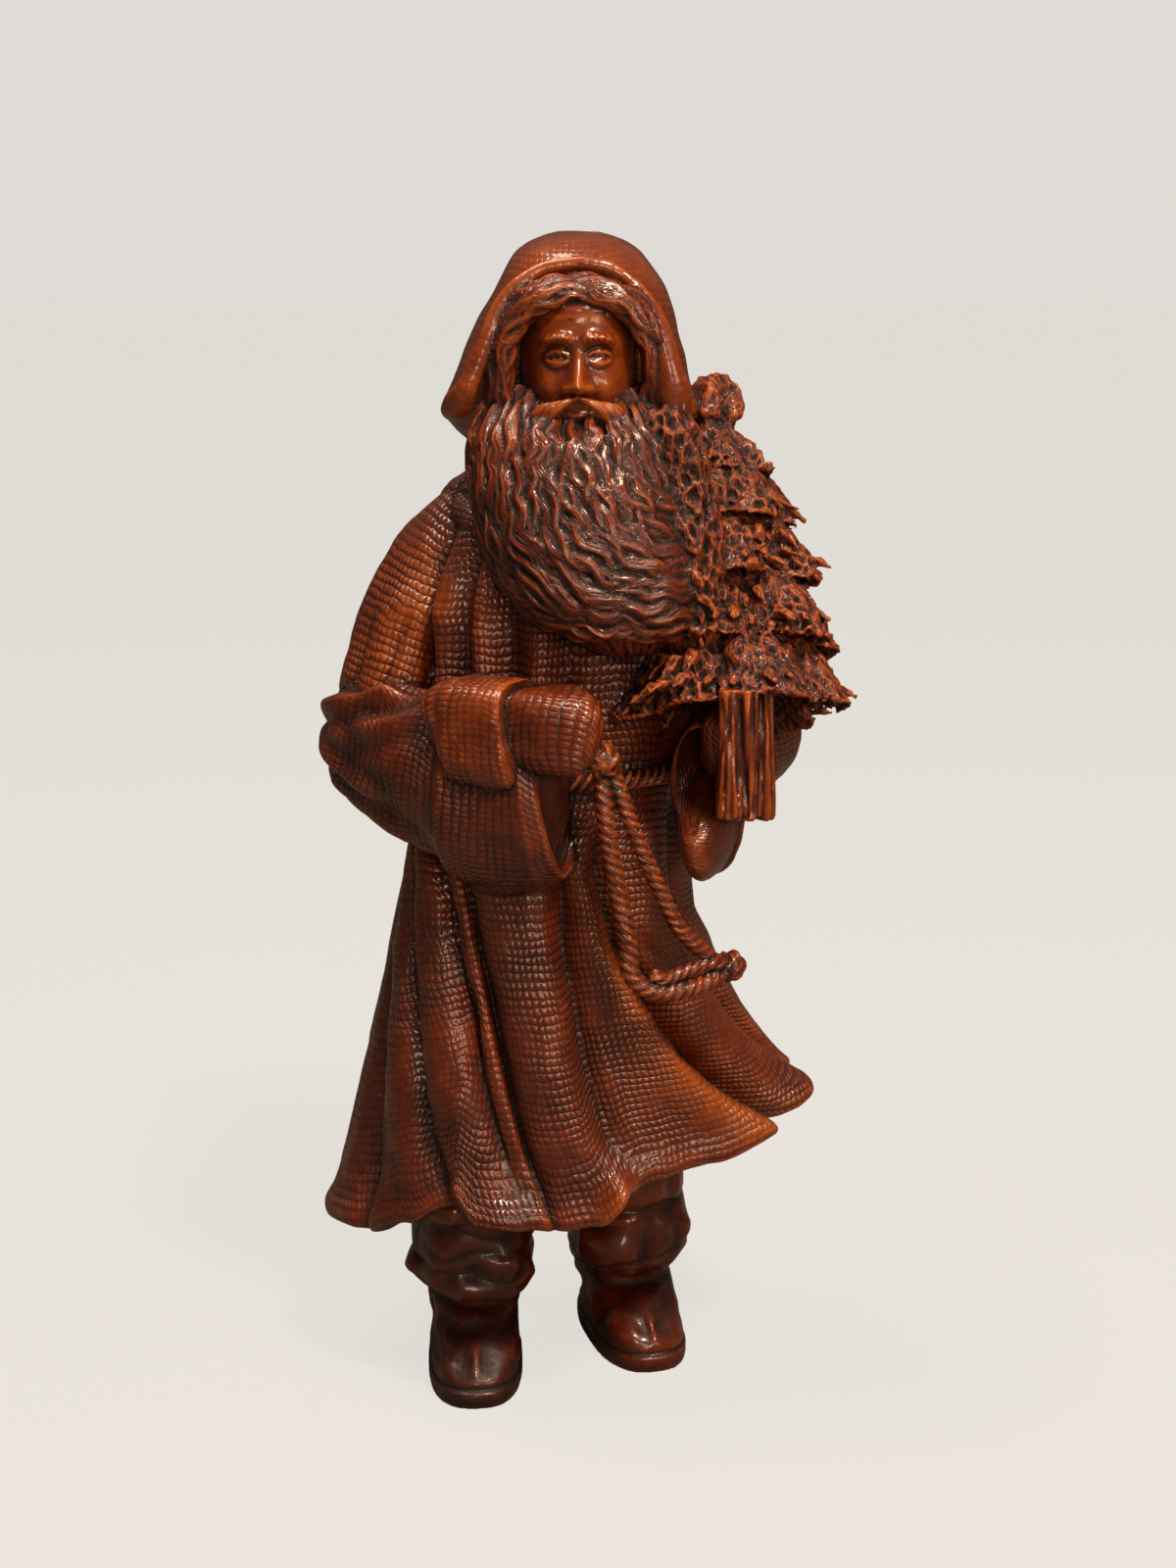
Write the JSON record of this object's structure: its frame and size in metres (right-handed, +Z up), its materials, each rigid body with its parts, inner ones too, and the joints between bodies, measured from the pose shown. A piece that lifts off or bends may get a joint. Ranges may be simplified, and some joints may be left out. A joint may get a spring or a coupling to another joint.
{
  "type": "santa figurine",
  "caption": "Cast resin standing figure of a bearded man in a hooded burlap coat with a rope girdle, one hand at the waist, a small fir tree held in the other arm.",
  "frame": {"origin": "centre of the bounding box, on the table under the boot soles", "axes": "+Z up, the figure faces -Y, +X towards the hand that holds the tree (the figure's left hand)"},
  "size_m": [0.1318, 0.1039, 0.3],
  "materials": {
    "resin": "satin"
  },
  "bodies": {
    "root": {"figurine": "resin"}
  },
  "joints": []
}
